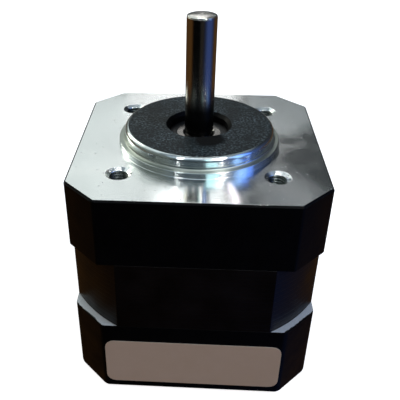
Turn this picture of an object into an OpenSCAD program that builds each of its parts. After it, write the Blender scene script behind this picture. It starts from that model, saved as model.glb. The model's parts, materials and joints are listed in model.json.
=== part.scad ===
// Brushless DC motor with a 42 mm square frame and a round 5 mm shaft.
// The origin is the centre of the mounting face. The shaft points along +Z, the body lies below the face.

/* [Frame] */
// Width across the flats of the square frame
frame_w = 42.3; // [42:0.1:44]
// Leg of the 45 degree cut at each corner of the caps
corner_cut = 5.4; // [5:0.1:6]
// Diameter over the round corners of the lamination stack
stack_corner_d = 49.6; // [49.2:0.1:50]
// Height of the front cap below its mounting face
front_cap_h = 12.2; // [11.6:0.1:14]
// Height of the lamination stack
stack_h = 13.3; // [12:0.1:30]
// Height of the rear cap
rear_cap_h = 15.5; // [15.2:0.1:18]
// Thickness of the cap walls at the middle of a flat
cap_wall = 2.45; // [2.2:0.05:2.6]
// Thickness of the front cap behind its mounting face
face_wall = 5.2; // [5:0.1:5.6]
// Thickness of the rear cap's floor
floor_wall = 2.2; // [1.8:0.1:2.4]
// Bevel round the mounting face
face_bevel = 0.3; // [0.1:0.05:0.5]
// Radius of the front cap's upright edges
front_edge_r = 0.8; // [0.4:0.1:1.4]
// Radius of the rear cap's upright edges
rear_edge_r = 1.6; // [1.3:0.1:2.2]
// Radius round the rear face
foot_r = 1.1; // [0.6:0.1:1.2]

/* [Boss] */
// Diameter of the low step at the foot of the boss
step_d = 28; // [27:0.1:29]
// Height of the low step
step_h = 1; // [0.6:0.1:1.2]
// Diameter of the pilot
pilot_d = 26; // [24:0.1:26.4]
// Height of the pilot's top above the mounting face
pilot_h = 3.15; // [2.8:0.05:3.6]
// Bevel at the top of the pilot
pilot_bevel = 0.5; // [0.2:0.1:0.7]
// Thickness of the lip in front of the bearing
lip_h = 1.65; // [1.3:0.05:1.8]
// Diameter of the opening in the lip
mouth_d = 11.6; // [10:0.1:12.4]
// Bevel round the opening in the lip
mouth_bevel = 0.6; // [0.3:0.1:0.8]

/* [Face holes] */
// Number of tapped holes
face_hole_count = 4; // [2:2:4]
// Diameter of the circle that the tapped holes lie on
face_circle_d = 36; // [35.4:0.1:36.4]
// Thread size of the tapped holes
face_thread_d = 3; // [2.5:0.1:3]
// Depth of the tapped holes
face_hole_depth = 4.5; // [3:0.1:4.6]
// Diameter of the countersink at the mouth of each tapped hole
face_sink_d = 4.3; // [3.4:0.1:4.6]
// Depth of that countersink
face_sink_depth = 0.45; // [0.2:0.05:0.45]

/* [Shaft] */
// Diameter of the shaft at its ends
shaft_d = 5; // [4.6:0.05:5.2]
// Reach of the shaft above the mounting face
shaft_reach = 22.2; // [18:0.1:30]
// Bevel at the shaft's end
shaft_bevel = 0.45; // [0.2:0.05:0.8]
// Diameter of the shaft between its bearings
shoulder_d = 6.5; // [6.2:0.1:7]
// Length of the shaft that stands out behind the rear bearing
shaft_stub = 0.3; // [0.2:0.05:0.5]
// Width of the relief groove in front of the bearing
relief_w = 0.6; // [0.6:0.1:1]
// Depth of the relief groove
relief_t = 0.2; // [0.16:0.01:0.3]

/* [Bearings] */
// Outer diameter of both bearings
bearing_d = 16; // [15.8:0.1:16.2]
// Width of both bearings
bearing_w = 5; // [4.8:0.1:5]
// Diameter of the balls
ball_d = 2.75; // [2.6:0.05:2.8]
// Number of balls in each bearing
ball_count = 7; // [6:1:8]
// Thickness of the inner ring at its lands
inner_land_t = 1.3; // [1.2:0.05:1.35]
// Thickness of the inner ring beside its groove
inner_shoulder_t = 1.8; // [1.7:0.05:1.85]
// Thickness of the outer ring at its lands
outer_land_t = 1.2; // [1.1:0.05:1.3]
// Thickness of the outer ring beside its groove
outer_shoulder_t = 1.8; // [1.7:0.05:1.85]
// Depth of the recess that holds a seal
seal_depth = 0.55; // [0.5:0.05:0.6]
// Thickness of a seal
seal_t = 0.35; // [0.25:0.05:0.4]
// Radial thickness of the cage
cage_t = 1.5; // [1.2:0.1:1.5]
// Thickness of the cage's rim beside the balls
cage_rim_t = 0.3; // [0.2:0.05:0.3]
// Depth of the cage's fingers past the middle of the balls
cage_finger = 0.5; // [0.3:0.1:0.8]
// Bevel on the rings' corners
ring_bevel = 0.3; // [0.15:0.05:0.35]

/* [Rotor] */
// Diameter over the magnets
rotor_d = 21.4; // [20:0.1:21.8]
// Thickness of the magnets
magnet_t = 2.1; // [1.6:0.1:2.6]
// Number of magnets
magnet_count = 8; // [4:2:10]
// Gap between neighbouring magnets
magnet_gap = 0.4; // [0.2:0.1:1]
// Length that the magnets reach past the front of the stack
rotor_front_over = 0.8; // [0.2:0.1:1.2]
// Length that the magnets reach past the rear of the stack
rotor_rear_over = 3.1; // [2.4:0.1:3.2]
// Air gap between the magnets and the teeth
air_gap = 0.3; // [0.25:0.05:0.5]

/* [Stator] */
// Number of teeth
tooth_count = 12; // [9:3:15]
// Width of a tooth
tooth_w = 3.4; // [3:0.1:3.6]
// Thickness of the tooth tips
tip_t = 0.9; // [0.7:0.1:1.2]
// Width of the gap between tooth tips
slot_mouth_w = 2; // [1.6:0.1:2.6]
// Thickness of the yoke at the middle of a flat
yoke_t = 3.2; // [3:0.1:3.6]
// Thickness of the insulators on the ends of the stack
insulator_t = 0.8; // [0.5:0.1:0.9]
// Height of the insulators' walls from the stack
guard_h = 3.2; // [2.6:0.1:3.2]
// Thickness of the insulators' outer wall
guard_t = 0.9; // [0.7:0.1:1]
// Width of the insulators' inner tabs
tab_w = 4.4; // [4:0.1:4.6]
// Thickness of the windings over the insulators
end_turn_h = 3.2; // [2.6:0.1:3.3]

/* [Screws] */
// Distance between the long screws along a side
screw_pitch = 31; // [30.8:0.1:31.2]
// Thread size of the long screws
screw_d = 3; // [2.5:0.1:3]
// Diameter of the long screws' heads
screw_head_d = 5.4; // [4.6:0.1:5.4]
// Height of the long screws' heads
screw_head_h = 3; // [2.4:0.1:3.2]
// Depth of the heads below the rear face
screw_sunk = 0.4; // [0.1:0.1:0.8]
// Length of thread held in the front cap
screw_grip = 6.6; // [5:0.1:7]
// Width across the flats of the hexagon sockets
socket_w = 2.5; // [2:0.1:2.8]
// Depth of the hexagon sockets
socket_depth = 1.5; // [1:0.1:2]

/* [Hall board] */
// Thickness of the board
board_t = 1; // [0.8:0.1:1.2]
// Distance from the stack to the board
board_drop = 5.5; // [5.4:0.1:5.8]
// Diameter of the board
board_d = 33.6; // [33:0.1:34]
// Diameter of the hole in the board
board_hole_d = 13.6; // [12:0.1:14]
// Diameter of the circle that the board's screws lie on
post_circle_d = 28; // [27.8:0.1:28.4]
// Diameter of the posts that carry the board
post_d = 4.4; // [4:0.1:4.6]
// Thread size of the board's screws
board_screw_d = 2; // [1.6:0.1:2.2]
// Diameter of the board's screw heads
board_head_d = 3.4; // [3:0.1:3.8]
// Height of the board's screw heads
board_head_h = 1.1; // [0.8:0.1:1.1]
// Width of the cross slots in those heads
board_slot_w = 0.4; // [0.3:0.1:0.6]
// Length of thread held in a post
board_screw_grip = 4; // [2.5:0.1:5]
// Number of the board's screws
board_screw_count = 3; // [3:1:4]
// Width of a Hall sensor
sensor_w = 4; // [3:0.1:4.2]
// Depth of a Hall sensor along the radius
sensor_l = 3; // [2:0.1:3.2]
// Height of a Hall sensor
sensor_h = 1.5; // [1:0.1:1.5]

/* [Cable exit] */
// Distance from the rear face to the middle of the exit
exit_up = 8; // [7.8:0.1:8.2]
// Diameter of the hole in the wall
exit_d = 6.4; // [5:0.1:6.8]
// Bore of the grommet
grommet_bore_d = 4.4; // [3:0.1:4.6]
// Width of the grommet's flanges past the hole
flange_reach = 1; // [0.6:0.1:1]
// Thickness of the grommet's flanges
flange_t = 0.9; // [0.6:0.1:1]

/* [Label] */
// Width of the label
label_w = 30.8; // [24:0.1:31]
// Height of the label
label_h = 10; // [8:0.1:11]
// Distance from the rear face to the label's lower edge
label_up = 2.05; // [1.7:0.05:3]
// Thickness of the label
label_t = 0.12; // [0.08:0.01:0.2]
// Radius of the label's corners
label_r = 1.6; // [0.8:0.1:2.5]

/* [Bearing preload] */
// Height of the wave washer when it is fitted
washer_h = 0.6; // [0.5:0.05:0.7]
// Thickness of the wave washer's steel
washer_t = 0.2; // [0.15:0.05:0.25]
// Radial width of the wave washer
washer_w = 0.9; // [0.7:0.1:1]
// Number of waves
wave_count = 3; // [3:1:4]

/* [Hidden] */
$fn = 96;

// Clearance of a fit between round pieces, on the radius
fit_gap = 0.01;
// Clearance of a screw in its hole, on the radius
screw_gap = 0.15;
// Clearance between a ball and its groove or pocket
ball_gap = 0.06;
// Clearance of a seal's lip round the inner ring
lip_gap = 0.08;
// Clearance between flat pieces that are fitted loosely
seat_gap = 0.02;
// Clearance between the windings and what they lie against
coil_gap = 0.25;
// Clearance of the insulators inside the caps
guard_gap = 0.2;
// Clearance between the glued magnets and the core
glue_gap = 0.04;
// Depth of the relief under the shaft's rear end
end_relief = 0.4;
// Wall of the rear bearing's hub
hub_wall = 2.2;
// Extra depth of a tapped hole past its screw
tap_run = 0.8;
// Overrun of every cut
over = 0.5;
// Short steps in each rounded corner of an outline
arc_steps = 4;
// Steps round the wave washer
washer_steps = 48;
// Sides of a cap's outline
sides = 8;
// Share of the rotor's radius at which the sensors stand
sensor_place_share = 0.9;
// Angle between neighbouring Hall sensors
sensor_angle = 30;

side_turn = 360 / sides;
stack_top = -front_cap_h;
stack_bottom = stack_top - stack_h;
rear_z = stack_bottom - rear_cap_h;
floor_z = rear_z + floor_wall;
cavity_r = frame_w / 2 - cap_wall;
front_bearing_z = pilot_h - lip_h - bearing_w / 2;
rear_bearing_z = floor_z + washer_h + bearing_w / 2;
pitch_r = (shaft_d + bearing_d) / 4;
rotor_r = rotor_d / 2;
bore_r = rotor_r + air_gap;
tip_r = bore_r + tip_t;
slot_r = frame_w / 2 - yoke_t;
guard_out_r = cavity_r - guard_gap;
guard_in_r = guard_out_r - guard_t;
coil_in_r = tip_r + coil_gap;
coil_out_r = guard_in_r - coil_gap;
tooth_turn = 360 / tooth_count;
rotor_top = stack_top + rotor_front_over;
rotor_bottom = stack_bottom - rotor_rear_over;
magnet_in_r = rotor_r - magnet_t;
board_top = stack_bottom - board_drop;
board_bottom = board_top - board_t;
head_seat_z = rear_z + screw_sunk + screw_head_h;
screw_top = stack_top + screw_grip;
shaft_bottom = rear_bearing_z - bearing_w / 2 - shaft_stub;
exit_z = rear_z + exit_up;
label_z = rear_z + label_up + label_h / 2;

// Distance from the centre to side k of a cap: flats are even, corner cuts are odd
function side_dist(k) = k % 2 == 0 ? frame_w / 2 : (frame_w - corner_cut) / sqrt(2);

// Point where the line at angle a and distance d meets the line one side on at distance e
function meet(a, d, e) = let (b = a + side_turn) [d * sin(b) - e * sin(a), e * cos(a) - d * cos(b)] / sin(side_turn);

// Outline of a cap, moved in by inset, with its corners rounded to radius r
function cap_outline(inset, r) = [
    for (k = [0 : sides - 1])
        let (a = side_turn * k)
        let (c = meet(a, side_dist(k) - inset - r, side_dist(k + 1) - inset - r))
        for (i = [0 : arc_steps])
            let (b = a + side_turn * i / arc_steps)
            c + r * [cos(b), sin(b)]
];

// Outline of a rectangle with rounded corners, about its centre
function plate_outline(w, h, r) = [
    for (k = [0 : 3])
        let (c = [(k == 0 || k == 3 ? 1 : -1) * (w / 2 - r), (k < 2 ? 1 : -1) * (h / 2 - r)])
        for (i = [0 : arc_steps])
            let (b = 90 * k + 90 * i / arc_steps)
            c + r * [cos(b), sin(b)]
];

// Skin of a stack of equal outlines: each level is [height, outline]
module lofted(levels) {
    n = len(levels[0][1]);
    last = len(levels) - 1;
    points = [for (v = levels) for (p = v[1]) [p[0], p[1], v[0]]];
    walls = [for (j = [0 : last - 1]) for (i = [0 : n - 1])
        [j * n + i, (j + 1) * n + i, (j + 1) * n + (i + 1) % n, j * n + (i + 1) % n]];
    foot = [[for (i = [0 : n - 1]) i]];
    roof = [[for (i = [0 : n - 1]) last * n + n - 1 - i]];
    polyhedron(points = points, faces = concat(foot, walls, roof));
}

// Four copies at the corners of a square of the given pitch
module at_corners(pitch) {
    for (x = [-1, 1])
        for (y = [-1, 1])
            translate([x * pitch / 2, y * pitch / 2, 0])
                children();
}

// Copies spread evenly on a circle, the first at the given angle
module around(count, r, first) {
    for (i = [0 : count - 1])
        rotate([0, 0, first + 360 * i / count])
            translate([r, 0, 0])
                children();
}

// Round bar from z = low to z = high
module bar(r, low, high) {
    translate([0, 0, low])
        cylinder(r = r, h = high - low);
}

module boss_blank() {
    rotate_extrude()
        polygon([
            [0, -face_wall], [step_d / 2, -face_wall], [step_d / 2, step_h], [pilot_d / 2, step_h],
            [pilot_d / 2, pilot_h - pilot_bevel], [pilot_d / 2 - pilot_bevel, pilot_h], [0, pilot_h]
        ]);
}

module boss_mouth() {
    rotate_extrude()
        polygon([
            [0, pilot_h - lip_h - over], [mouth_d / 2, pilot_h - lip_h - over],
            [mouth_d / 2, pilot_h - mouth_bevel], [mouth_d / 2 + mouth_bevel, pilot_h],
            [mouth_d / 2 + mouth_bevel, pilot_h + over], [0, pilot_h + over]
        ]);
}

module face_bevels() {
    for (k = [0 : sides - 1])
        rotate([0, 0, side_turn * k])
            translate([side_dist(k), 0, 0])
                rotate([0, 45, 0])
                    cube([face_bevel * sqrt(2), frame_w, face_bevel * sqrt(2)], center = true);
}

module face_hole() {
    bar(face_thread_d / 2, -face_hole_depth, over);
    translate([0, 0, -face_sink_depth])
        cylinder(r1 = face_thread_d / 2, r2 = face_sink_d / 2, h = face_sink_depth);
}

module front_cap() {
    color("#8f9493")
        difference() {
            union() {
                translate([0, 0, -front_cap_h])
                    linear_extrude(front_cap_h)
                        polygon(cap_outline(0, front_edge_r));
                boss_blank();
            }
            face_bevels();
            boss_mouth();
            bar(bearing_d / 2 + fit_gap, -face_wall - over, pilot_h - lip_h);
            bar(cavity_r, -front_cap_h - over, -face_wall);
            around(face_hole_count, face_circle_d / 2, side_turn)
                face_hole();
            at_corners(screw_pitch)
                bar(screw_d / 2 + fit_gap, -front_cap_h - over, screw_top + tap_run);
        }
}

// Outside of the rear cap, with a rounded edge round its rear face
module rear_blank() {
    rounds = [for (i = [0 : arc_steps])
        let (a = 90 * i / arc_steps)
        [rear_z + foot_r * (1 - cos(a)), cap_outline(foot_r * (1 - sin(a)), rear_edge_r - foot_r * (1 - sin(a)))]];
    lofted(concat(rounds, [[stack_bottom, cap_outline(0, rear_edge_r)]]));
}

module rear_cap() {
    color("#17181a")
        difference() {
            union() {
                difference() {
                    rear_blank();
                    bar(cavity_r, floor_z, stack_bottom + over);
                }
                bar(bearing_d / 2 + hub_wall, floor_z - over, rear_bearing_z + bearing_w / 2);
                around(board_screw_count, post_circle_d / 2, 90)
                    bar(post_d / 2, floor_z - over, board_bottom);
            }
            bar(bearing_d / 2 + fit_gap, floor_z, rear_bearing_z + bearing_w);
            bar(shaft_d / 2 + inner_land_t, floor_z - end_relief, floor_z + over);
            around(board_screw_count, post_circle_d / 2, 90)
                bar(board_screw_d / 2 + fit_gap, board_bottom - board_screw_grip - tap_run, board_bottom + over);
            at_corners(screw_pitch) {
                bar(screw_d / 2 + screw_gap, rear_z - over, stack_bottom + over);
                bar(screw_head_d / 2 + screw_gap, rear_z - over, head_seat_z);
            }
            translate([0, 0, exit_z])
                rotate([-90, 0, 0]) {
                    bar(exit_d / 2 + fit_gap, cavity_r - over, frame_w / 2 + over);
                    bar(exit_d / 2 + flange_reach + guard_gap, cavity_r - flange_t - guard_gap, cavity_r);
                }
        }
}

// Slot and bore of the stack, as one flat shape
module slot_shape() {
    circle(r = bore_r);
    difference() {
        circle(r = slot_r);
        circle(r = tip_r);
        for (i = [0 : tooth_count - 1])
            rotate(tooth_turn * i)
                translate([0, -tooth_w / 2])
                    square([slot_r + over, tooth_w]);
    }
    for (i = [0 : tooth_count - 1])
        rotate(tooth_turn * (i + 1 / 2))
            translate([0, -slot_mouth_w / 2])
                square([tip_r + tip_t / 2, slot_mouth_w]);
}

module stator_core() {
    color("#3a2c22")
        translate([0, 0, stack_bottom])
            linear_extrude(stack_h)
                difference() {
                    intersection() {
                        square([frame_w, frame_w], center = true);
                        circle(r = stack_corner_d / 2);
                    }
                    slot_shape();
                    at_corners(screw_pitch)
                        circle(r = screw_d / 2 + screw_gap);
                }
}

// Insulator standing on z = 0: a wall outside, a tab on each tooth tip, and a strip over each tooth
module insulator() {
    difference() {
        union() {
            linear_extrude(guard_h)
                difference() {
                    circle(r = guard_out_r);
                    circle(r = guard_in_r);
                }
            for (i = [0 : tooth_count - 1])
                rotate([0, 0, tooth_turn * i]) {
                    translate([bore_r + air_gap / 2, -tooth_w / 2, 0])
                        cube([guard_in_r + guard_t / 2 - bore_r - air_gap / 2, tooth_w, insulator_t]);
                    translate([bore_r + air_gap / 2, -tab_w / 2, 0])
                        cube([tip_t - air_gap / 2, tab_w, guard_h]);
                }
        }
        bar(bore_r + air_gap / 2, -over, guard_h + over);
    }
}

module front_insulator() {
    color("#d8d4c4")
        translate([0, 0, stack_top])
            insulator();
}

module rear_insulator() {
    color("#d8d4c4")
        translate([0, 0, stack_bottom])
            mirror([0, 0, 1])
                insulator();
}

// Winding round the tooth that lies along +X
module coil() {
    low = stack_bottom - insulator_t - end_turn_h;
    high = stack_top + insulator_t + end_turn_h;
    slope = tan(tooth_turn / 2);
    window = tooth_w / 2 + coil_gap;
    difference() {
        translate([0, 0, low])
            linear_extrude(high - low)
                intersection() {
                    circle(r = coil_out_r);
                    polygon([
                        [coil_in_r, -coil_in_r * slope + coil_gap], [coil_out_r, -coil_out_r * slope + coil_gap],
                        [coil_out_r, coil_out_r * slope - coil_gap], [coil_in_r, coil_in_r * slope - coil_gap]
                    ]);
                }
        translate([coil_in_r - over, -window, stack_bottom - insulator_t - seat_gap])
            cube([coil_out_r - coil_in_r + 2 * over, 2 * window, stack_h + 2 * (insulator_t + seat_gap)]);
    }
}

// Every third tooth from the given one on carries the same phase
module phase(first) {
    color("#b0602f")
        for (i = [first : 3 : tooth_count - 1])
            rotate([0, 0, tooth_turn * i])
                coil();
}

module hall_board() {
    color("#1f5a36")
        translate([0, 0, board_bottom])
            linear_extrude(board_t)
                difference() {
                    circle(r = board_d / 2);
                    circle(r = board_hole_d / 2);
                    around(board_screw_count, post_circle_d / 2, 90)
                        circle(r = board_screw_d / 2 + screw_gap);
                }
}

module hall_sensors() {
    color("#1a1a1c")
        for (i = [-1 : 1])
            rotate([0, 0, sensor_angle * i - 90])
                translate([rotor_r * sensor_place_share - sensor_l / 2, -sensor_w / 2, board_top])
                    cube([sensor_l, sensor_w, sensor_h]);
}

module board_screws() {
    color("#c2c4c6")
        around(board_screw_count, post_circle_d / 2, 90)
            difference() {
                union() {
                    bar(board_screw_d / 2, board_bottom - board_screw_grip, board_top);
                    bar(board_head_d / 2, board_top, board_top + board_head_h);
                }
                for (a = [0, 90])
                    translate([0, 0, board_top + board_head_h])
                        rotate([0, 0, a])
                            cube([board_screw_d, board_slot_w, board_head_h], center = true);
            }
}

module through_screws() {
    color("#b9bcbf")
        at_corners(screw_pitch)
            difference() {
                union() {
                    bar(screw_d / 2, head_seat_z - over, screw_top);
                    bar(screw_head_d / 2, head_seat_z - screw_head_h, head_seat_z);
                }
                translate([0, 0, head_seat_z - screw_head_h - over])
                    cylinder(r = socket_w / sqrt(3), h = socket_depth + over, $fn = 6);
            }
}

// Spring washer between the rear cap's floor and the rear bearing's outer ring
module wave_washer() {
    outer = bearing_d / 2 - guard_gap;
    swing = (washer_h - washer_t) / 2 - seat_gap;
    middle = floor_z + washer_h / 2;
    points = [for (i = [0 : washer_steps - 1])
        let (a = 360 * i / washer_steps)
        let (z = middle + swing * cos(wave_count * a))
        for (q = [[outer - washer_w, -1], [outer, -1], [outer, 1], [outer - washer_w, 1]])
            [q[0] * cos(a), q[0] * sin(a), z + q[1] * washer_t / 2]];
    faces = [for (i = [0 : washer_steps - 1])
        for (j = [0 : 3])
            let (m = 4 * ((i + 1) % washer_steps))
            for (f = [[4 * i + j, m + j, m + (j + 1) % 4], [4 * i + j, m + (j + 1) % 4, 4 * i + (j + 1) % 4]])
                f];
    color("#a9adb0")
        polyhedron(points = points, faces = faces);
}

module cable_grommet() {
    color("#1c1d1e")
        translate([0, 0, exit_z])
            rotate([-90, 0, 0])
                translate([0, 0, cavity_r])
                    rotate_extrude()
                        polygon([
                            [grommet_bore_d / 2, -flange_t], [exit_d / 2 + flange_reach, -flange_t],
                            [exit_d / 2 + flange_reach, -seat_gap], [exit_d / 2, -seat_gap],
                            [exit_d / 2, cap_wall + seat_gap], [exit_d / 2 + flange_reach, cap_wall + seat_gap],
                            [exit_d / 2 + flange_reach, cap_wall + flange_t / 2],
                            [exit_d / 2 + flange_reach - flange_t / 2, cap_wall + flange_t],
                            [grommet_bore_d / 2, cap_wall + flange_t]
                        ]);
}

module label_plate() {
    color("#f2f3f2")
        translate([0, -frame_w / 2, label_z])
            rotate([90, 0, 0])
                linear_extrude(label_t)
                    polygon(plate_outline(label_w, label_h, label_r));
}

module shaft() {
    journal_z = front_bearing_z + bearing_w / 2;
    shoulder_low = rear_bearing_z + bearing_w / 2;
    shoulder_high = front_bearing_z - bearing_w / 2;
    r = shaft_d / 2;
    color("#6f7072")
        rotate_extrude()
            polygon([
                [0, shaft_bottom], [r - shaft_bevel / 2, shaft_bottom], [r, shaft_bottom + shaft_bevel / 2],
                [r, shoulder_low], [shoulder_d / 2, shoulder_low], [shoulder_d / 2, shoulder_high],
                [r, shoulder_high], [r, journal_z], [r - relief_t, journal_z],
                [r - relief_t, journal_z + relief_w], [r, journal_z + relief_w],
                [r, shaft_reach - shaft_bevel], [r - shaft_bevel, shaft_reach], [0, shaft_reach]
            ]);
}

module rotor_core() {
    color("#77787a")
        difference() {
            bar(magnet_in_r - glue_gap, rotor_bottom, rotor_top);
            bar(shoulder_d / 2 + fit_gap, rotor_bottom - over, rotor_top + over);
        }
}

// Every second magnet from the given one on has the same pole outwards
module magnets(first) {
    turn = 360 / magnet_count;
    gap_angle = 2 * asin(magnet_gap / 2 / magnet_in_r);
    color(first == 0 ? "#4b4d52" : "#5b5e64")
        for (i = [first : 2 : magnet_count - 1])
            rotate([0, 0, turn * i + gap_angle / 2])
                rotate_extrude(angle = turn - gap_angle)
                    polygon([
                        [magnet_in_r, rotor_bottom], [rotor_r, rotor_bottom],
                        [rotor_r, rotor_top], [magnet_in_r, rotor_top]
                    ]);
}

// Flat shape of a bearing's inner ring, about its middle
module inner_ring_shape() {
    in = shaft_d / 2 + fit_gap;
    land = shaft_d / 2 + inner_land_t;
    shoulder = shaft_d / 2 + inner_shoulder_t;
    half = bearing_w / 2;
    difference() {
        polygon([
            [in, -half + ring_bevel], [in + ring_bevel, -half], [land, -half], [land, -half + seal_depth],
            [shoulder, -half + seal_depth], [shoulder, half - seal_depth], [land, half - seal_depth],
            [land, half], [in + ring_bevel, half], [in, half - ring_bevel]
        ]);
        translate([pitch_r, 0])
            circle(r = ball_d / 2 + ball_gap);
    }
}

// Flat shape of a bearing's outer ring, about its middle
module outer_ring_shape() {
    out = bearing_d / 2;
    land = bearing_d / 2 - outer_land_t;
    shoulder = bearing_d / 2 - outer_shoulder_t;
    half = bearing_w / 2;
    difference() {
        polygon([
            [out, -half + ring_bevel], [out - ring_bevel, -half], [land, -half], [land, -half + seal_depth],
            [shoulder, -half + seal_depth], [shoulder, half - seal_depth], [land, half - seal_depth],
            [land, half], [out - ring_bevel, half], [out, half - ring_bevel]
        ]);
        translate([pitch_r, 0])
            circle(r = ball_d / 2 + ball_gap);
    }
}

module bearing_ring(z) {
    color("#cfd3d5")
        translate([0, 0, z])
            rotate_extrude()
                children();
}

module bearing_seals(z) {
    color("#141516")
        for (s = [0, 1])
            translate([0, 0, z])
                mirror([0, 0, s])
                    translate([0, 0, bearing_w / 2 - seal_depth + seat_gap])
                        difference() {
                            cylinder(r = bearing_d / 2 - outer_land_t - fit_gap, h = seal_t);
                            bar(shaft_d / 2 + inner_land_t + lip_gap, -over, seal_t + over);
                        }
}

module bearing_balls(z) {
    color("#e3e6e8")
        translate([0, 0, z])
            around(ball_count, pitch_r, 0)
                sphere(r = ball_d / 2, $fn = 48);
}

// Crown cage: a rim beside the balls with fingers between them
module bearing_cage(z) {
    color("#c9b27c")
        translate([0, 0, z])
            difference() {
                bar(pitch_r + cage_t / 2, -cage_finger, ball_d / 2 + ball_gap + cage_rim_t);
                bar(pitch_r - cage_t / 2, -cage_finger - over, ball_d + over);
                around(ball_count, pitch_r, 0)
                    sphere(r = ball_d / 2 + ball_gap, $fn = 48);
            }
}

front_cap();
rear_cap();
stator_core();
front_insulator();
rear_insulator();
phase(0);  // phase_a_coils
phase(1);  // phase_b_coils
phase(2);  // phase_c_coils
hall_board();
hall_sensors();
board_screws();
through_screws();
wave_washer();
cable_grommet();
label_plate();
shaft();
rotor_core();
magnets(0);  // north_magnets
magnets(1);  // south_magnets
bearing_ring(front_bearing_z) outer_ring_shape();  // front_bearing_outer_ring
bearing_ring(front_bearing_z) inner_ring_shape();  // front_bearing_inner_ring
bearing_seals(front_bearing_z);  // front_bearing_seals
bearing_balls(front_bearing_z);  // front_bearing_balls
bearing_cage(front_bearing_z);  // front_bearing_cage
bearing_ring(rear_bearing_z) outer_ring_shape();  // rear_bearing_outer_ring
bearing_ring(rear_bearing_z) inner_ring_shape();  // rear_bearing_inner_ring
bearing_seals(rear_bearing_z);  // rear_bearing_seals
bearing_balls(rear_bearing_z);  // rear_bearing_balls
bearing_cage(rear_bearing_z);  // rear_bearing_cage
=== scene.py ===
import json
import math

import bmesh
import bpy
import numpy as np
from mathutils import Euler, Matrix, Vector


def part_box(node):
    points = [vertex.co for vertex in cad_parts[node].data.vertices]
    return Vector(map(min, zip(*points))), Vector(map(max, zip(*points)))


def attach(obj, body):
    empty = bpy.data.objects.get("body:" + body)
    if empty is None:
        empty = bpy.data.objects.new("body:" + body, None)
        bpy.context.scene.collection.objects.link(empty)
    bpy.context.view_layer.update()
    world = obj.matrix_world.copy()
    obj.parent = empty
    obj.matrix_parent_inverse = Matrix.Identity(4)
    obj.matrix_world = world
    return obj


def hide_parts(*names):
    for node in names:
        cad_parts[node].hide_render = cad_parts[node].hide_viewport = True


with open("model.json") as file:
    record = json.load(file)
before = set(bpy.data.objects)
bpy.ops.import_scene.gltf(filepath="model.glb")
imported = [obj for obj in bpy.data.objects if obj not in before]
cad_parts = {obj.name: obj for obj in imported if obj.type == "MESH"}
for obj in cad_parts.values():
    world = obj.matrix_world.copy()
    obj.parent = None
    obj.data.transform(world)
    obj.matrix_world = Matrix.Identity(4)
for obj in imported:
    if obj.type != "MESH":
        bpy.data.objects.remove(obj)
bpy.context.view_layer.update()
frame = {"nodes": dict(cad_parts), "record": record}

MM = 0.001

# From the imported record: the sizes of each mount, and the material slot and the body of each node
MOUNTS = {mount["name"]: mount["dims"] for mount in frame["record"]["mounts"]}
SLOTS = {row["node"]: row["material_slot"] for row in frame["record"]["subparts"]}
BODIES = {node: body for body, nodes in frame["record"]["behaviour"]["bodies"].items() for node in nodes}

# Heights in the shared frame, in metres: the mounting face is at zero
BOSS_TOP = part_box("front_cap")[1].z
STACK_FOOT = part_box("stator_core")[0].z
REAR_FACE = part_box("rear_cap")[0].z
SHAFT_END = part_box("shaft")[1].z

# Front cap: the step at the boss's foot, the pilot above it with its bevel, and the mouth with its own
STEP_R = 14 * MM
STEP_TOP = 1 * MM
PILOT_R = MOUNTS["pilot"]["r_mm"] * MM
PILOT_BEVEL = 0.5 * MM
MOUTH_R = 5.8 * MM
MOUTH_BEVEL = 0.6 * MM

# Face holes: their radius, how far their middles lie from the axis along x and along y, the countersink's
# depth, and how far round its middle a hole's bare metal reaches
HOLE_R = MOUNTS["face_screws"]["hole_r_mm"] * MM
HOLE_XY = MOUNTS["face_screws"]["pcd_mm"] / 2 * MM / math.sqrt(2)
SINK_DEPTH = 0.45 * MM
HOLE_REACH = 2.4 * MM

# Threads in the face holes: they run out over a twelfth of their length at each end
THREAD_PITCH = 0.5 * MM
THREAD_DEEP = 0.27 * MM
THREAD_REACH = 3.8 * MM
THREAD_FADE = 12

# Paint in the mouth: its thickness, how much that waves, and a lump at a dark spot beside the mouth, with the
# spot's middle at the height of the boss's top, the lump's angle round the axis and its reach in radians
CRUST = 0.66 * MM
CRUST_WAVE = 0.035 * MM
LUMP = 0.4 * MM
DARK_SPOT = (2.0 * MM, -6.2 * MM, BOSS_TOP)
LUMP_ANGLE = math.atan2(DARK_SPOT[1], DARK_SPOT[0])
LUMP_REACH = 0.5

# Shaft's end: the bevel of the CAD part, and the depth of the low dome that is drawn there; then how many rings
# the dome has, the width of the outermost, and how many times as wide each next one is
SHAFT_R = MOUNTS["shaft_end"]["r_mm"] * MM
TIP_BEVEL = 0.45 * MM
DOME_DEEP = 0.37 * MM
DOME_RINGS = 10
DOME_RING = 0.03 * MM
DOME_GROWTH = 1.38

# Largest |x| + |y| of a cap: its width less the corner's cut
CORNER_SUM = (42.3 - 5.4) * MM
# Points closer than this are one point
WELD = 0.0002 * MM
# Slack for telling heights and circles apart, and the gap between surfaces that would lie in one another
NARROW = 0.02 * MM
# Neighbouring faces that turn by less than this are one flat face
FLAT = math.radians(0.2)
# An edge where the surface turns by more than this is sharp
CREASE = math.radians(25)
# A face is level if its normal's upward share is more than this
LEVEL = 0.9
# Faces across a rounded edge
ROUND_STEPS = 3

# The lathe's feed, and a second, shorter wave as a share of it
FEED = 0.02 * MM
SHORTER = 0.69
# Far narrower than a pixel, so that rings finer than a pixel still tilt the surface
FINE_FILTER = 0.005


def linear(code):
    """Linear colour of an sRGB hex code: a dark channel is divided by 12.92, and any other is
    ((c + 0.055) / 1.055) to the power 2.4."""
    shares = [int(code[i:i + 2], 16) / 255 for i in (1, 3, 5)]
    return [c / 12.92 if c <= 0.04045 else ((c + 0.055) / 1.055) ** 2.4 for c in shares] + [1.0]


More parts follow.
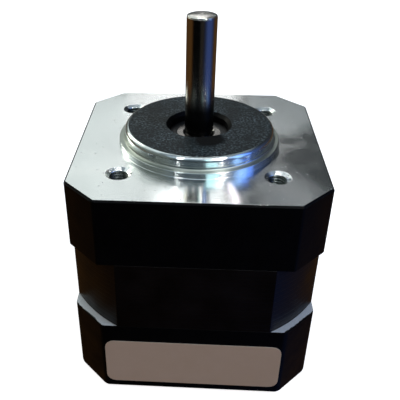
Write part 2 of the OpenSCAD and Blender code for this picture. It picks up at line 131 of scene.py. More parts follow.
def add(tree, kind, inputs=None, **settings):
    """Adds one node. Settings are its properties; inputs are its sockets, each set to a value or linked."""
    node = tree.nodes.new("ShaderNode" + kind)
    for name, value in settings.items():
        setattr(node, name, value)
    for key, value in (inputs or {}).items():
        source = value.outputs[0] if isinstance(value, bpy.types.Node) else value
        if isinstance(source, bpy.types.NodeSocket):
            tree.links.new(source, node.inputs[key])
        else:
            node.inputs[key].default_value = source
    return node


def material(name, inputs):
    """A new material with one shader, whose sockets hold the given values. Gives its tree and shader too."""
    made = bpy.data.materials.new(name)
    made.use_nodes = True
    made.node_tree.nodes.clear()
    shader = add(made.node_tree, "BsdfPrincipled", inputs)
    add(made.node_tree, "OutputMaterial", {"Surface": shader})
    return made, made.node_tree, shader


def feed(tree, shader, **sources):
    """Links outputs to the shader's sockets. A socket's name is written with an underscore for a space."""
    for key, source in sources.items():
        socket = source.outputs[0] if isinstance(source, bpy.types.Node) else source
        tree.links.new(socket, shader.inputs[key.replace("_", " ")])


def ring_tangent(tree):
    """Direction across the turning rings: the normal crossed with the way round the shaft's axis."""
    place = add(tree, "TexCoord").outputs["Object"]
    way_round = add(tree, "VectorMath", {0: (0, 0, 1), 1: place}, operation="CROSS_PRODUCT")
    world = add(tree, "VectorTransform", {0: way_round}, vector_type="VECTOR",
                convert_from="OBJECT", convert_to="WORLD")
    normal = add(tree, "NewGeometry").outputs["Normal"]
    return add(tree, "VectorMath", {0: normal, 1: world}, operation="CROSS_PRODUCT")


def radius_and_height(tree):
    """A point's distance from the shaft's axis, and its height."""
    parts = add(tree, "SeparateXYZ", {0: add(tree, "TexCoord").outputs["Object"]})
    flat = add(tree, "CombineXYZ", {0: parts.outputs[0], 1: parts.outputs[1]})
    radius = add(tree, "VectorMath", {0: flat}, operation="LENGTH").outputs["Value"]
    return radius, parts.outputs[2]


def feed_marks(tree, slope):
    """Rings left by the lathe: the sum of two sines of the radius less the height, one as long as the feed
    and one shorter and lower in the same share, so that each is as steep as the slope says."""
    radius, height = radius_and_height(tree)
    along = add(tree, "Math", {0: radius, 1: height}, operation="SUBTRACT")
    turn = add(tree, "Math", {0: along, 1: 2 * math.pi / FEED}, operation="MULTIPLY")
    faster = add(tree, "Math", {0: turn, 1: 1 / SHORTER}, operation="MULTIPLY")
    long = add(tree, "Math", {0: turn}, operation="SINE")
    short = add(tree, "Math", {0: faster}, operation="SINE")
    both = add(tree, "Math", {0: short, 1: SHORTER, 2: long}, operation="MULTIPLY_ADD")
    deep = slope * FEED / (2 * math.pi)
    return add(tree, "Bump", {"Strength": 1.0, "Distance": deep, "Filter Width": FINE_FILTER, "Height": both})


def turned_metal(name, tone, low, high, stretch, slope):
    """Metal turned on a lathe: fine rings round the axis, as steep as the slope, stretch each highlight
    outwards in a streak. The roughness wanders between low and high."""
    made, tree, shader = material(name, {
        "Base Color": linear(tone), "Metallic": 1.0, "Anisotropic": stretch})
    place = add(tree, "TexCoord").outputs["Object"]
    # Handling leaves dull smudges 5 mm across
    patches = add(tree, "TexNoise", {"Vector": place, "Scale": 1 / (5 * MM), "Detail": 4.0})
    dull = add(tree, "MapRange", {0: patches, 1: 0.48, 2: 0.7, 3: low, 4: high})
    feed(tree, shader, Roughness=dull, Normal=feed_marks(tree, slope), Tangent=ring_tangent(tree))
    return made


def dusty(made, dust):
    """Adds specks of dust to a metal of one colour: up to 0.3 mm across, about 1.6 mm apart, and no metal
    themselves."""
    tree = made.node_tree
    shader = tree.nodes["Principled BSDF"]
    metal = tuple(shader.inputs["Base Color"].default_value)
    place = add(tree, "TexCoord").outputs["Object"]
    cells = add(tree, "TexVoronoi", {"Vector": place, "Scale": 1 / (1.6 * MM)})
    speck = add(tree, "MapRange", {0: cells.outputs["Distance"], 1: 0.05, 2: 0.11, 3: 0.8, 4: 0.0})
    colour = add(tree, "MixRGB", {"Fac": speck, "Color1": metal, "Color2": linear(dust)})
    shine = add(tree, "Math", {0: 1.0, 1: speck}, operation="SUBTRACT")
    feed(tree, shader, Base_Color=colour, Metallic=shine)
    return made


def satin_paint():
    """Black stoving enamel, sprayed on the castings: near black, satin, with a fine orange peel."""
    made, tree, shader = material("satin_black_enamel", {"Specular IOR Level": 0.05})
    place = add(tree, "TexCoord").outputs["Object"]
    # Orange peel 0.7 mm across, over a casting skin 3 mm across
    peel = add(tree, "TexNoise", {"Vector": place, "Scale": 1 / (0.7 * MM), "Detail": 2.0})
    skin = add(tree, "TexNoise", {"Vector": place, "Scale": 1 / (3 * MM), "Detail": 2.0})
    height = add(tree, "Math", {0: skin, 1: 2.0, 2: peel}, operation="MULTIPLY_ADD")
    bump = add(tree, "Bump", {"Strength": 1.0, "Distance": 0.012 * MM, "Height": height})
    rough = add(tree, "MapRange", {0: skin, 1: 0.3, 2: 0.7, 3: 0.36, 4: 0.5})
    colour = add(tree, "MixRGB", {"Fac": peel, "Color1": linear("#040405"), "Color2": linear("#09090a")})
    feed(tree, shader, Base_Color=colour, Roughness=rough, Normal=bump)
    return made


def grained_paint():
    """Black enamel on the boss over the cast skin, with light sandy specks, cloudy from handling. Its dark grey
    colour and light specks are partly a painted sheen with painted glints: the same enamel is near black on the
    caps' sides. Beside the mouth a ragged patch about 5 mm across is dead black and rougher."""
    made, tree, shader = material("grained_enamel_with_painted_sheen", {"Specular IOR Level": 0.15})
    place = add(tree, "TexCoord").outputs["Object"]
    # Sand-like grain 0.4 mm across
    grain = add(tree, "TexNoise", {
        "Vector": place, "Scale": 1 / (0.4 * MM), "Detail": 2.0, "Roughness": 0.6})
    bump = add(tree, "Bump", {"Strength": 1.0, "Distance": 0.09 * MM, "Height": grain})
    # Clouds 4 mm across
    cloud = add(tree, "TexNoise", {"Vector": place, "Scale": 1 / (4 * MM), "Detail": 3.0})
    much = add(tree, "MapRange", {0: cloud, 1: 0.38, 2: 0.62, 3: 0.15, 4: 1.0})
    light = add(tree, "MapRange", {0: grain, 1: 0.48, 2: 0.68, 3: 0.0, 4: 1.0})
    share = add(tree, "Math", {0: light, 1: much}, operation="MULTIPLY")
    # The grey and the pale specks are partly painted sheen and painted glints, not the enamel's own colour
    colour = add(tree, "MixRGB", {"Fac": share, "Color1": linear("#151c1d"), "Color2": linear("#606f72")})
    # A dark, rough spot beside the mouth is about 5 mm across, and the clouds make its edge ragged
    away = add(tree, "VectorMath", {0: place, 1: DARK_SPOT}, operation="DISTANCE").outputs["Value"]
    ragged = add(tree, "Math", {0: cloud, 1: 2.4 * MM, 2: away}, operation="MULTIPLY_ADD")
    thick = add(tree, "MapRange", {0: ragged, 1: 3.3 * MM, 2: 4.2 * MM, 3: 1.0, 4: 0.0})
    black = add(tree, "MixRGB", {"Fac": thick, "Color1": colour, "Color2": linear("#030404")})
    rough = add(tree, "MapRange", {0: thick, 1: 0.0, 2: 1.0, 3: 0.5, 4: 0.9})
    feed(tree, shader, Base_Color=black, Roughness=rough, Normal=bump)
    return made


def milled_aluminium():
    """Cast aluminium cut flat on top of the rear cap: bare, matt, pale metal. Black paint laps over its
    outer edge at the corners in a ragged line."""
    made, tree, shader = material("milled_aluminium", {"Roughness": 0.5})
    place = add(tree, "TexCoord").outputs["Object"]
    # Cutter marks 0.25 mm apart
    marks = add(tree, "TexNoise", {"Vector": place, "Scale": 1 / (0.25 * MM), "Detail": 2.0})
    bump = add(tree, "Bump", {"Strength": 1.0, "Distance": 0.004 * MM, "Height": marks})
    # The paint's edge wanders by 0.4 mm, in waves 1.5 mm long. A corner's edge is where |x| + |y| is largest
    sides = add(tree, "VectorMath", {0: place}, operation="ABSOLUTE")
    corner = add(tree, "VectorMath", {0: sides, 1: (1, 1, 0)}, operation="DOT_PRODUCT").outputs["Value"]
    waves = add(tree, "TexNoise", {"Vector": place, "Scale": 1 / (1.5 * MM), "Detail": 4.0})
    lap = add(tree, "Math", {0: waves, 1: 1.2 * MM, 2: corner}, operation="MULTIPLY_ADD")
    edge = CORNER_SUM + 0.22 * MM
    painted = add(tree, "MapRange", {0: lap, 1: edge, 2: edge + 0.04 * MM, 3: 0.0, 4: 1.0})
    metal = add(tree, "MixRGB", {"Fac": marks, "Color1": linear("#c3cdd4"), "Color2": linear("#e6ecef")})
    colour = add(tree, "MixRGB", {"Fac": painted, "Color1": metal, "Color2": linear("#050506")})
    shine = add(tree, "MapRange", {0: painted, 1: 0.0, 2: 1.0, 3: 0.35, 4: 0.0})
    feed(tree, shader, Base_Color=colour, Metallic=shine, Normal=bump)
    return made


def lacquered_laminations():
    """Edges of punched silicon steel sheets under brown-black lacquer: fine level lines, a dull sheen."""
    made, tree, shader = material("lacquered_laminations", {"Specular IOR Level": 0.16})
    place = add(tree, "TexCoord").outputs["Object"]
    parts = add(tree, "SeparateXYZ", {0: place})
    # The sheets are 0.5 mm thick. Every second joint is drawn, or they would run together
    level = add(tree, "Math", {0: parts.outputs[2], 1: 0.5 * MM}, operation="DIVIDE")
    wave = add(tree, "Math", {0: level, 1: 1.0}, operation="PINGPONG")
    joint = add(tree, "MapRange", {0: wave, 1: 0.0, 2: 0.25, 3: 0.0, 4: 1.0})
    bump = add(tree, "Bump", {"Strength": 1.0, "Distance": 0.016 * MM, "Height": joint})
    # The lacquer runs thick and thin in clouds 5 mm across
    cloud = add(tree, "TexNoise", {"Vector": place, "Scale": 1 / (5 * MM), "Detail": 3.0})
    brown = add(tree, "MixRGB", {"Fac": cloud, "Color1": linear("#040302"), "Color2": linear("#140c06")})
    rough = add(tree, "MapRange", {0: cloud, 1: 0.3, 2: 0.7, 3: 0.32, 4: 0.5})
    feed(tree, shader, Base_Color=brown, Roughness=rough, Normal=bump)
    return made


def ground_steel():
    """Hardened shaft steel, ground round: grey and bright, with fine rings that stretch highlights lengthwise.
    Its foot has painted shade."""
    made, tree, shader = material("ground_shaft_steel", {"Metallic": 1.0, "Anisotropic": 0.5})
    radius, height = radius_and_height(tree)
    # The grinding marks are 0.02 mm apart; they are drawn at 0.2 mm, or they would not show. They follow the
    # radius and the height alone, so they run round the shaft
    section = add(tree, "CombineXYZ", {0: radius, 1: height})
    rings = add(tree, "TexNoise", {"Vector": section, "Scale": 1 / (0.2 * MM), "Detail": 3.0})
    bump = add(tree, "Bump", {"Strength": 1.0, "Distance": 0.00015 * MM, "Height": rings})
    # Painted shade: the foot's colour is darkened, and its roughness raised, up to 8 mm above the boss
    clear_of_painted_shade = add(tree, "MapRange", {
        0: height, 1: BOSS_TOP + 3 * MM, 2: BOSS_TOP + 8 * MM, 3: 0.0, 4: 1.0})
    colour = add(tree, "MixRGB", {"Fac": clear_of_painted_shade, "Color1": linear("#2c2b2b"), "Color2": linear("#a39f99")})
    rough = add(tree, "MapRange", {0: clear_of_painted_shade, 1: 0.0, 2: 1.0, 3: 0.26, 4: 0.15})
    feed(tree, shader, Base_Color=colour, Roughness=rough, Normal=bump, Tangent=ring_tangent(tree))
    return made


def plain(name, note, low, high, rough_low, rough_high, grain, depth, metallic=0.0):
    """A surface whose colour, roughness and height follow one noise of the given grain size. The note says
    what the material is and what its making gives the eye."""
    made, tree, shader = material(name, {"Metallic": metallic})
    made["note"] = note
    place = add(tree, "TexCoord").outputs["Object"]
    noise = add(tree, "TexNoise", {"Vector": place, "Scale": 1 / grain, "Detail": 3.0})
    colour = add(tree, "MixRGB", {"Fac": noise, "Color1": linear(low), "Color2": linear(high)})
    rough = add(tree, "MapRange", {0: noise, 1: 0.3, 2: 0.7, 3: rough_low, 4: rough_high})
    bump = add(tree, "Bump", {"Strength": 1.0, "Distance": depth, "Height": noise})
    feed(tree, shader, Base_Color=colour, Roughness=rough, Normal=bump)
    return made


# The finish of each material slot, apart from the two caps', whose surfaces have several
FINISH = {
    "nylon": plain(
        "glass_filled_nylon", "moulded nylon with glass fibre: off-white, matt, fine specks",
        "#c9c3ae", "#ddd8c6", 0.5, 0.7, 0.4 * MM, 0.006 * MM),
    "copper": plain(
        "enamelled_copper_wire", "packed round wire under clear enamel: coppery, glossy",
        "#7c3d1e", "#b5673a", 0.22, 0.35, 0.5 * MM, 0.04 * MM, metallic=0.8),
    "circuit_board": plain(
        "solder_masked_board", "glass epoxy under green solder mask: smooth, weave just shows",
        "#10492a", "#1c6a3f", 0.25, 0.35, 0.6 * MM, 0.004 * MM),
    "sensor_resin": plain(
        "moulded_epoxy", "black moulded epoxy: matt with a fine grain",
        "#121213", "#1e1e20", 0.5, 0.65, 0.15 * MM, 0.003 * MM),
    "zinc_screws": plain(
        "zinc_plated_steel", "bright zinc on steel: bluish white metal, lightly mottled",
        "#a9aeb4", "#c9cdd1", 0.2, 0.36, 0.7 * MM, 0.003 * MM, metallic=1.0),
    "spring_steel": plain(
        "spring_steel", "rolled spring steel: grey metal with a bluish bloom",
        "#8b9098", "#a9adb2", 0.24, 0.36, 0.8 * MM, 0.002 * MM, metallic=1.0),
    "grommet_rubber": plain(
        "moulded_rubber", "black moulded rubber: dull with a dusty bloom",
        "#141415", "#222224", 0.6, 0.8, 0.5 * MM, 0.01 * MM),
    "rotor_steel": plain(
        "turned_steel", "turned mild steel: grey metal",
        "#8a8b8d", "#a2a3a5", 0.28, 0.4, 0.4 * MM, 0.003 * MM, metallic=1.0),
    "magnet": plain(
        "nickel_plated_magnet", "sintered magnet under nickel: warm grey, soft shine",
        "#8b8780", "#a6a29a", 0.25, 0.38, 0.3 * MM, 0.004 * MM, metallic=1.0),
    # Its tone is darker than bare bearing steel: painted shade deep in the mouth
    "bearing_steel": turned_metal("ground_bearing_steel_painted_shade", "#6d6b68", 0.14, 0.22, 1.0, 0.06),
    "seal_rubber": plain(
        "nitrile_rubber", "black nitrile rubber seal: dull, smooth",
        "#0e0e0f", "#1a1a1b", 0.5, 0.68, 0.4 * MM, 0.004 * MM),
    "cage_nylon": plain(
        "moulded_nylon", "natural nylon cage: amber, a little glossy",
        "#b89a58", "#ceb377", 0.4, 0.55, 0.5 * MM, 0.004 * MM),
    "label_film": plain(
        "polyester_film", "white polyester film: smooth, semi-gloss, slightly wavy over its glue",
        "#ddcfb6", "#e5d8c2", 0.3, 0.38, 2.5 * MM, 0.004 * MM),
    "shaft_steel": ground_steel(),
    "laminations": lacquered_laminations(),
}

# Finishes of single surfaces: the mounting face, the boss's flank, the top of the step, the threads, the
# shaft's end, the caps' sides, the top of the boss, and the rear cap's ledges
FACE = dusty(turned_metal("turned_aluminium_face", "#e9ebea", 0.1, 0.19, 1.0, 0.05), "#d2d4d1")
FLANK = turned_metal("turned_aluminium_boss", "#cdd3d2", 0.15, 0.2, 0.7, 0.03)
ROUGH_TURNED = turned_metal("rough_turned_aluminium", "#9aa098", 0.4, 0.5, 0.3, 0.03)
# The threads' dark grey is painted shade in the holes: bare aluminium darkened
TAPPED = turned_metal("tapped_aluminium_painted_shade", "#3f4442", 0.28, 0.4, 0.3, 0.03)
SHAFT_TIP = turned_metal("turned_shaft_end", "#d8d5cf", 0.14, 0.24, 0.5, 0.04)
PAINT = satin_paint()
GRAIN = grained_paint()
MILLED = milled_aluminium()


def placed(name, data):
    """A new object of the scene, at the origin."""
    made = bpy.data.objects.new(name, data)
    bpy.context.scene.collection.objects.link(made)
    return made


def merged_copy(node, name):
    """The node's own surface as a new piece: merged, its flat parts joined, its creases sharp."""
    mesh = frame["nodes"][node].data.copy()
    mesh.name = name
    shape = bmesh.new()
    shape.from_mesh(mesh)
    bmesh.ops.remove_doubles(shape, verts=shape.verts, dist=WELD)
    bmesh.ops.dissolve_limit(shape, angle_limit=FLAT, verts=shape.verts, edges=shape.edges)
    shape.to_mesh(mesh)
    shape.free()
    # The normals stored with the CAD mesh would hold for the old triangles alone
    mesh.attributes.remove(mesh.attributes["custom_normal"])
    mesh.materials.clear()
    mesh.polygons.foreach_set("use_smooth", np.ones(len(mesh.polygons), bool))
    mesh.set_sharp_from_angle(angle=CREASE)
    return placed(name, mesh)


def points_of(mesh):
    """The mesh's points, one row each."""
    points = np.zeros(len(mesh.vertices) * 3)
    mesh.vertices.foreach_get("co", points)
    return points.reshape(-1, 3)


def from_axis(points):
    """How far each point lies from the shaft's axis."""
    return np.hypot(points[:, 0], points[:, 1])


def round_edges(piece, radius, circles=(), finish=-1):
    """Rounds each sharp edge to the radius, with the piece's finish of that number if one is given. Edges on
    a circle round the axis, given as its radius, its height and its own rounding, get that one. A rounding
    is a share of the widest, kept in the edge's bevel weight."""
    mesh = piece.data
    points = points_of(mesh)
    ends = np.zeros(len(mesh.edges) * 2, np.int32)
    mesh.edges.foreach_get("vertices", ends)
    ends = ends.reshape(-1, 2)
    sharp = np.zeros(len(mesh.edges), bool)
    mesh.attributes["sharp_edge"].data.foreach_get("value", sharp)
    widths = np.where(sharp, radius, 0.0)
    for circle_r, height, wide in circles:
        off = np.hypot(from_axis(points) - circle_r, points[:, 2] - height)
        on = off < NARROW
        widths = np.where(sharp & on[ends].all(axis=1), wide, widths)
    weights = mesh.attributes.new("bevel_weight_edge", "FLOAT", "EDGE")
    weights.data.foreach_set("value", (widths / widths.max()).astype(np.float32))
    bevel = piece.modifiers.new("rounded_edges", "BEVEL")
    bevel.width = widths.max()
    bevel.segments = ROUND_STEPS
    bevel.material = finish
    bevel.limit_method = "WEIGHT"
    bevel.use_clamp_overlap = False
    bevel.harden_normals = True
    bevel.miter_outer = "MITER_ARC"


def face_places(piece):
    """For each face of a piece: its centre, its normal, and the distance from the shaft's axis to the
    nearest of its corners."""
    mesh = piece.data
    count = len(mesh.polygons)
    centres = np.zeros(count * 3)
    normals = np.zeros(count * 3)
    starts = np.zeros(count, np.int32)
    corners = np.zeros(len(mesh.loops), np.int32)
    mesh.polygons.foreach_get("center", centres)
    mesh.polygons.foreach_get("normal", normals)
    mesh.polygons.foreach_get("loop_start", starts)
    mesh.loops.foreach_get("vertex_index", corners)
    radii = from_axis(points_of(mesh))[corners]
    return centres.reshape(-1, 3), normals.reshape(-1, 3), np.minimum.reduceat(radii, starts)


def dress(piece, materials, choice):
    """Gives a piece its materials, and each face the number of its own."""
    for one in materials:
        piece.data.materials.append(one)
    piece.data.polygons.foreach_set("material_index", choice.astype(np.int32))


def stand_for(piece, node, body):
    """The piece rides on the node's body and hides the node."""
    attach(piece, body)
    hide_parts(node)


def crust_mouth(mesh):
    """Paint has run over the edge of the mouth and narrows it: every point of its wall moves towards the axis
    by the crust's thickness, which waves round the mouth as three sines of the angle do. At the dark spot it
    has a lump, a bell curve of the angle."""
    points = points_of(mesh)
    radius = from_axis(points)
    angle = np.arctan2(points[:, 1], points[:, 0])
    waves = np.sin(5 * angle + 1) + 0.7 * np.sin(11 * angle) + 0.6 * np.sin(17 * angle + 2)
    bell = np.exp(-((angle - LUMP_ANGLE) / LUMP_REACH) ** 2)
    crust = CRUST + CRUST_WAVE * waves + LUMP * bell
    wall = np.abs(radius - MOUTH_R - MOUTH_BEVEL / 2) < MOUTH_BEVEL / 2 + NARROW
    wall &= points[:, 2] > STEP_TOP
    points[wall, :2] *= (1 - crust / radius)[wall, None]
    mesh.vertices.foreach_set("co", points.ravel())


# Roundings of the front cap's turned edges: the circle's radius, its height and the rounding
CAP_CIRCLES = [
    (PILOT_R, BOSS_TOP - PILOT_BEVEL, 0.3 * MM),
    (PILOT_R - PILOT_BEVEL, BOSS_TOP, 0.3 * MM),
    (PILOT_R, STEP_TOP, 0.45 * MM),
    (STEP_R, STEP_TOP, 0.16 * MM),
]


def front_end_cap():
    """The front cap: bare where the lathe has cut it, painted elsewhere, with grained paint on the boss."""
    piece = merged_copy("front_cap", "front_end_cap")
    place, normal, radius = face_places(piece)
    hole_x = np.abs(np.abs(place[:, 0]) - HOLE_XY)
    hole_y = np.abs(np.abs(place[:, 1]) - HOLE_XY)
    # Below the countersinks the holes' walls take the black paint: painted shade in the holes
    at_hole = (np.hypot(hole_x, hole_y) < HOLE_REACH) & (radius > PILOT_R) & (place[:, 2] > -SINK_DEPTH)
    cut = (place[:, 2] > -NARROW) & (radius > PILOT_R - PILOT_BEVEL - NARROW)
    flank = cut & (place[:, 2] > NARROW)
    ledge = flank & (place[:, 2] < STEP_TOP + NARROW) & (normal[:, 2] > LEVEL)
    top = (place[:, 2] > BOSS_TOP - NARROW) & (normal[:, 2] > LEVEL) & ~cut
    # Each number is a place in the list of finishes; what none of the four holds is painted
    choice = np.select([ledge, flank, cut | at_hole, top], [4, 3, 0, 2], 1)
    dress(piece, [FACE, PAINT, GRAIN, FLANK, ROUGH_TURNED], choice)
    crust_mouth(piece.data)
    round_edges(piece, 0.08 * MM, CAP_CIRCLES)
    stand_for(piece, "front_cap", "motor_body")


def tapped_threads():
    """Threads in the four face holes. On a grid of angle and height, the inner wall's radius falls from the
    hole's own by the thread's depth as a triangle wave of the height less the angle's share of the pitch.
    The outer wall lies just behind the hole's own, and a narrow ring joins the walls at each end."""
    # Points round the hole and along it
    around, along = 48, 64
    angles = np.linspace(0, 2 * np.pi, around, endpoint=False)
    angle, level = np.meshgrid(angles, np.linspace(0, 1, along))
    height = -SINK_DEPTH - level * THREAD_REACH
    phase = (height / THREAD_PITCH - angle / (2 * np.pi)) % 1
    fade = np.clip(np.minimum(level, 1 - level) * THREAD_FADE, 0, 1)
    radius = HOLE_R - THREAD_DEEP * fade * (1 - 2 * np.abs(phase - 0.5))
    inner = np.stack([radius * np.cos(angle), radius * np.sin(angle), height], -1).reshape(-1, 3)
    outer = inner.copy()
    outer[:, 0] = (HOLE_R + NARROW) * np.cos(angle.ravel())
    outer[:, 1] = (HOLE_R + NARROW) * np.sin(angle.ravel())
    row = np.arange(along - 1)[:, None] * around
    column = np.arange(around)[None, :]
    after = (column + 1) % around
    wall = np.stack([row + column, row + after, row + after + around, row + column + around], -1)
    wall = wall.reshape(-1, 4)
    last = (along - 1) * around
    count = along * around
    lids = [np.stack([after, column, column + count, after + count], -1)[0],
            np.stack([last + column, last + after, last + after + count, last + column + count], -1)[0]]
    faces = np.concatenate([wall, wall[:, ::-1] + count, *lids])
    centres = np.array([(x, y, 0) for x in (-HOLE_XY, HOLE_XY) for y in (-HOLE_XY, HOLE_XY)])
    points = np.concatenate([np.concatenate([inner, outer]) + centre for centre in centres])
    shifts = np.arange(len(centres))[:, None, None] * 2 * count
    mesh = bpy.data.meshes.new("tapped_threads")
    mesh.from_pydata(points.tolist(), [], (faces[None] + shifts).reshape(-1, 4).tolist())
    mesh.materials.append(TAPPED)
    piece = placed("tapped_threads", mesh)
    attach(piece, "motor_body")


def rear_end_cap():
    """The rear cap: painted, with its flat upper side cut bare."""
    piece = merged_copy("rear_cap", "rear_end_cap")
    place, normal, _ = face_places(piece)
    cut = (place[:, 2] > STACK_FOOT - NARROW) & (normal[:, 2] > LEVEL)
    dress(piece, [MILLED, PAINT], np.where(cut, 0, 1))
    round_edges(piece, 0.1 * MM, finish=1)
    stand_for(piece, "rear_cap", "motor_body")


def dome_tip(mesh):
    """The shaft's end is turned to a low dome. Its flat circle is widened and divided into rings, narrowest
    at the rim. Then each point sinks below the end by the dome's depth times one less the square root of
    one less the fourth power of its share of the radius."""
    points = points_of(mesh)
    upper = points[:, 2] > SHAFT_END - NARROW
    lower = (points[:, 2] > SHAFT_END - TIP_BEVEL - NARROW) & ~upper
    points[upper, :2] *= (SHAFT_R - NARROW) / (SHAFT_R - TIP_BEVEL)
    points[lower, 2] = SHAFT_END - DOME_DEEP
    mesh.vertices.foreach_set("co", points.ravel())
    shape = bmesh.new()
    shape.from_mesh(mesh)
    flat = max(shape.faces, key=lambda face: face.calc_center_median().z)
    for ring in range(DOME_RINGS):
        bmesh.ops.inset_individual(shape, faces=[flat], thickness=DOME_RING * DOME_GROWTH ** ring)
    bmesh.ops.poke(shape, faces=[flat])
    shape.to_mesh(mesh)
    shape.free()
    points = points_of(mesh)
    share = np.minimum(from_axis(points) / SHAFT_R, 1.0)
    end = points[:, 2] > SHAFT_END - NARROW
    points[end, 2] = SHAFT_END - DOME_DEEP * (1 - np.sqrt(1 - share[end] ** 4))
    mesh.vertices.foreach_set("co", points.ravel())
    mesh.set_sharp_from_angle(angle=CREASE)


# Other CAD nodes that get rounded edges: the node, the new piece's name and the rounding
ROUNDED = [
    ("stator_core", "lamination_stack", 0.06 * MM),
    ("shaft", "output_shaft", 0.1 * MM),
    ("through_screws", "clamping_screws", 0.15 * MM),
    ("cable_grommet", "rubber_grommet", 0.25 * MM),
    ("label_plate", "label", 0.03 * MM),
]


def rounded_pieces():
    """Pieces made from CAD nodes by rounding their edges. The shaft's end becomes a dome, with its own
    finish."""
    for node, name, radius in ROUNDED:
        piece = merged_copy(node, name)
        finish = FINISH[SLOTS[node]]
        if node == "shaft":
            dome_tip(piece.data)
            place, _, _ = face_places(piece)
            dress(piece, [finish, SHAFT_TIP], place[:, 2] > SHAFT_END - DOME_DEEP)
        else:
            piece.data.materials.append(finish)
        round_edges(piece, radius)
        stand_for(piece, node, BODIES[node])


def dress_nodes():
    """Every CAD node that still shows gets the finish of its slot."""
    for name, node in frame["nodes"].items():
        if not node.hide_render:
            for place in node.material_slots:
                place.material = FINISH[SLOTS[name]]


# Camera, fitted to the photograph: its place in millimetres from the mounting face's centre, its turn in
# degrees, its lens and film in millimetres, its shift as a share of the film, and the nearest that it sees
CAMERA_PLACE = (-0.20, -93.78, 47.32)
CAMERA_TURN = (58.25, 0.19, 3.44)
CAMERA_LENS = 52.79
CAMERA_FILM = 36
CAMERA_SHIFT = (0.0875, -0.025)
CAMERA_NEAR = 5 * MM


def camera():
    """The camera stands where the photograph was taken."""
    data = bpy.data.cameras.new("camera")
    data.lens = CAMERA_LENS
    data.sensor_width = CAMERA_FILM
    data.shift_x, data.shift_y = CAMERA_SHIFT
    data.clip_start = CAMERA_NEAR
    made = placed("camera", data)
    made.location = Vector(CAMERA_PLACE) * MM
    made.rotation_euler = Euler([math.radians(turn) for turn in CAMERA_TURN])
    bpy.context.scene.camera = made


# What the motor mirrors all round it, below the horizon and above it: azimuths in degrees from -Y towards +X,
# and colours. The two blend over a band at the horizon, and further up they blend into the ceiling; the band
# and that blend's start and end are given as the upward share of a look
LOW_ROUND = [
    (-180, "#7d7a76"), (-165, "#6a5a48"), (-150, "#5a3c20"), (-90, "#6b4b27"), (-76, "#5c3f20"),
    (-62, "#030202"), (-12, "#020202"), (-4, "#35322f"), (16, "#302e2e"), (28, "#2c3a63"),
    (48, "#4a63ad"), (72, "#4a63ad"), (92, "#3c4a74"), (104, "#5b4630"), (128, "#6b4b27"),
    (150, "#5a3c20"), (168, "#7d7a76"), (180, "#7d7a76"),
]
HIGH_ROUND = [
    (-180, "#595d5f"), (-140, "#747c78"), (-45, "#747c78"), (-30, "#45545c"), (12, "#45545c"),
    (42, "#50607a"), (75, "#5570b0"), (110, "#3a4662"), (135, "#2c3033"), (165, "#3c4042"),
    (180, "#595d5f"),
]
CEILING = "#8f9ca4"
HORIZON_BAND = 0.06
CEILING_FROM = 0.66
CEILING_FULL = 0.8


def ring_of_colours(tree, around, stops):
    """A ramp of colours all round: each azimuth in degrees becomes a share of the full turn."""
    ramp = add(tree, "ValToRGB", {"Fac": around})
    ramp.color_ramp.elements.remove(ramp.color_ramp.elements[0])
    for index, (azimuth, code) in enumerate(stops):
        share = 0.5 + azimuth / 360
        stop = ramp.color_ramp.elements[0] if index == 0 else ramp.color_ramp.elements.new(share)
        stop.position = share
        stop.color = linear(code)
    return ramp


def surroundings(tree):
    """Dim walls above the horizon and a dark table below it, seen by the motor alone."""
    way = add(tree, "TexCoord").outputs["Generated"]
    parts = add(tree, "SeparateXYZ", {0: way})
    behind = add(tree, "Math", {0: parts.outputs[1], 1: -1.0}, operation="MULTIPLY")
    turned = add(tree, "CombineXYZ", {0: behind, 1: parts.outputs[0], 2: parts.outputs[2]})
    around = add(tree, "TexGradient", {"Vector": turned}, gradient_type="RADIAL").outputs["Fac"]
    low = ring_of_colours(tree, around, LOW_ROUND)
    high = ring_of_colours(tree, around, HIGH_ROUND)
    rise = add(tree, "MapRange", {
        0: parts.outputs[2], 1: -HORIZON_BAND, 2: HORIZON_BAND, 3: 0.0, 4: 1.0})
    walls = add(tree, "MixRGB", {"Fac": rise, "Color1": low, "Color2": high})
    overhead = add(tree, "MapRange", {
        0: parts.outputs[2], 1: CEILING_FROM, 2: CEILING_FULL, 3: 0.0, 4: 1.0})
    return add(tree, "MixRGB", {"Fac": overhead, "Color1": walls, "Color2": linear(CEILING)})


CARD_DISTANCE = 1.5

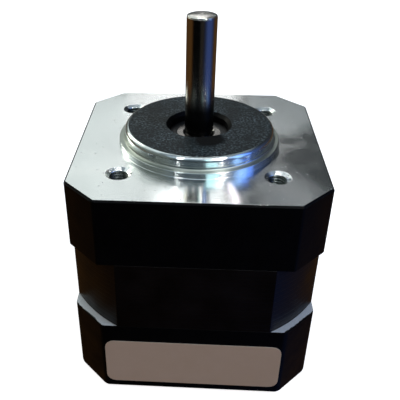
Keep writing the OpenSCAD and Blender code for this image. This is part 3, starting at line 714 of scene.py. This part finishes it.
# Soft lamps: name, azimuth, elevation, width and height in degrees as the motor sees them, radiance, colour,
# whether metal mirrors the lamp, and whether it lights dull surfaces. Azimuth runs from +Y towards +X
CARDS = [
    # Windows and glows that the mounting face mirrors
    ("back_left_window", -43, 42, 66, 46, 0.61, "#eef7f6", True, True),
    ("back_low_window", -2, 22.5, 11, 6, 1.15, "#ffffff", True, True),
    ("back_window", -0.5, 30.5, 7, 10, 1.15, "#ffffff", True, True),
    ("back_right_glow", 10, 21.5, 8, 5, 0.55, "#f2fbff", True, True),
    ("front_right_glow", 13, 34, 8, 4, 0.5, "#f8fbff", True, True),
    # Lamps for the highlights on bare metal: small bright ones in front give the boss its spots
    ("left_lamp", -51, 28, 16, 34, 2.8, "#fffff0", True, False),
    ("front_left_lamp", -148, 41, 3, 4, 22.0, "#ffffff", True, False),
    ("front_right_lamp", 142, 41, 5, 4, 120.0, "#ffffff", True, False),
    ("high_left_lamp", -148, 54, 5, 5, 22.0, "#ffffff", True, False),
    ("high_right_lamp", 137, 54, 13, 6, 24.0, "#fff6fb", True, False),
    ("overhead_lamp", 184, 77, 34, 8, 2.4, "#ffffff", True, False),
    ("front_right_strip", 158, 38, 15, 20, 2.6, "#cdf8ff", True, False),
    ("high_back_lamp", 0, 53, 14, 16, 1.6, "#ffffff", True, False),
    # Blue light from the right, and pale blue light from above the front
    ("pale_blue_card", 117, 28, 15, 40, 1.6, "#96c2ff", True, False),
    ("deep_blue_card", 103, 28, 11, 40, 1.6, "#5f8eff", True, False),
    ("front_top", 180, 60, 70, 20, 0.42, "#c9e2ff", True, False),
    # Tiny lamps that the turning rings draw out into two streaks on the mounting face
    ("back_right_spot", 8.0, 43, 0.16, 1.4, 290.0, "#fff4fb", True, False),
    ("back_left_spot", -4.8, 43, 0.3, 1.0, 80.0, "#f4ffff", True, False),
    # Light for the dull surfaces alone
    ("front_fill", 180, 25, 60, 40, 0.45, "#ffad6e", False, True),
    ("right_fill", 100, 40, 30, 30, 3.6, "#cfe2ff", False, True),
]


def card(name, azimuth, elevation, width, height, radiance, colour, glossy, diffuse):
    """A soft lamp: a flat card that faces the motor. Power is radiance times four times the card's area."""
    turn, rise = math.radians(azimuth), math.radians(elevation)
    way = Vector((math.sin(turn) * math.cos(rise), math.cos(turn) * math.cos(rise), math.sin(rise)))
    data = bpy.data.lights.new(name, "AREA")
    data.shape = "RECTANGLE"
    data.size = 2 * CARD_DISTANCE * math.tan(math.radians(width) / 2)
    data.size_y = 2 * CARD_DISTANCE * math.tan(math.radians(height) / 2)
    data.color = linear(colour)[:3]
    data.energy = radiance * 4 * data.size * data.size_y
    lamp = placed(name, data)
    lamp.location = way * CARD_DISTANCE
    lamp.rotation_euler = way.to_track_quat("Z", "Y").to_euler()
    lamp.visible_camera = False
    lamp.visible_glossy = glossy
    lamp.visible_diffuse = diffuse


def studio():
    """Pale surroundings to the camera, dim ones to the motor, and soft lamps round it."""
    world = bpy.data.worlds.new("studio")
    bpy.context.scene.world = world
    world.use_nodes = True
    tree = world.node_tree
    tree.nodes.clear()
    dim = add(tree, "Background", {"Color": surroundings(tree)})
    pale = add(tree, "Background", {"Color": (1, 1, 1, 1), "Strength": 1.0})
    seen = add(tree, "LightPath").outputs["Is Camera Ray"]
    both = add(tree, "MixShader", {0: seen, 1: dim, 2: pale})
    add(tree, "OutputWorld", {"Surface": both})
    for row in CARDS:
        card(*row)


FLOOR_REACH = 3.0
BOARD_REACH = 0.4


def plane(name, surface, height, reach):
    """A square level sheet about the shaft's axis."""
    mesh = bpy.data.meshes.new(name)
    corners = np.array([(-1, -1), (1, -1), (1, 1), (-1, 1)]) * reach
    mesh.from_pydata([(x, y, height) for x, y in corners], [], [(0, 1, 2, 3)])
    mesh.materials.append(surface)
    made = placed(name, mesh)
    return made


def floor():
    """A plain pale floor that the camera sees from above and sees through from below, and a slate board
    just under it that only bounces light."""
    pale, tree, shader = material("pale_floor", {
        "Base Color": linear("#f2f2f2"), "Roughness": 0.9,
        "Emission Color": (1, 1, 1, 1), "Emission Strength": 0.85})
    under = add(tree, "NewGeometry").outputs["Backfacing"]
    both = add(tree, "MixShader", {0: under, 1: shader, 2: add(tree, "BsdfTransparent")})
    tree.links.new(both.outputs[0], tree.get_output_node("CYCLES").inputs["Surface"])
    seen = plane("floor", pale, REAR_FACE - NARROW, FLOOR_REACH)
    seen.visible_glossy = False
    seen.visible_diffuse = False
    slate = material("slate_board", {"Base Color": linear("#626268"), "Roughness": 0.9})[0]
    board = plane("bounce_board", slate, REAR_FACE - 2 * NARROW, BOARD_REACH)
    board.visible_camera = False
    board.visible_glossy = False
    board.visible_shadow = False


front_end_cap()
tapped_threads()
rear_end_cap()
rounded_pieces()
dress_nodes()
camera()
studio()
floor()
bpy.context.scene.view_settings.view_transform = "Standard"
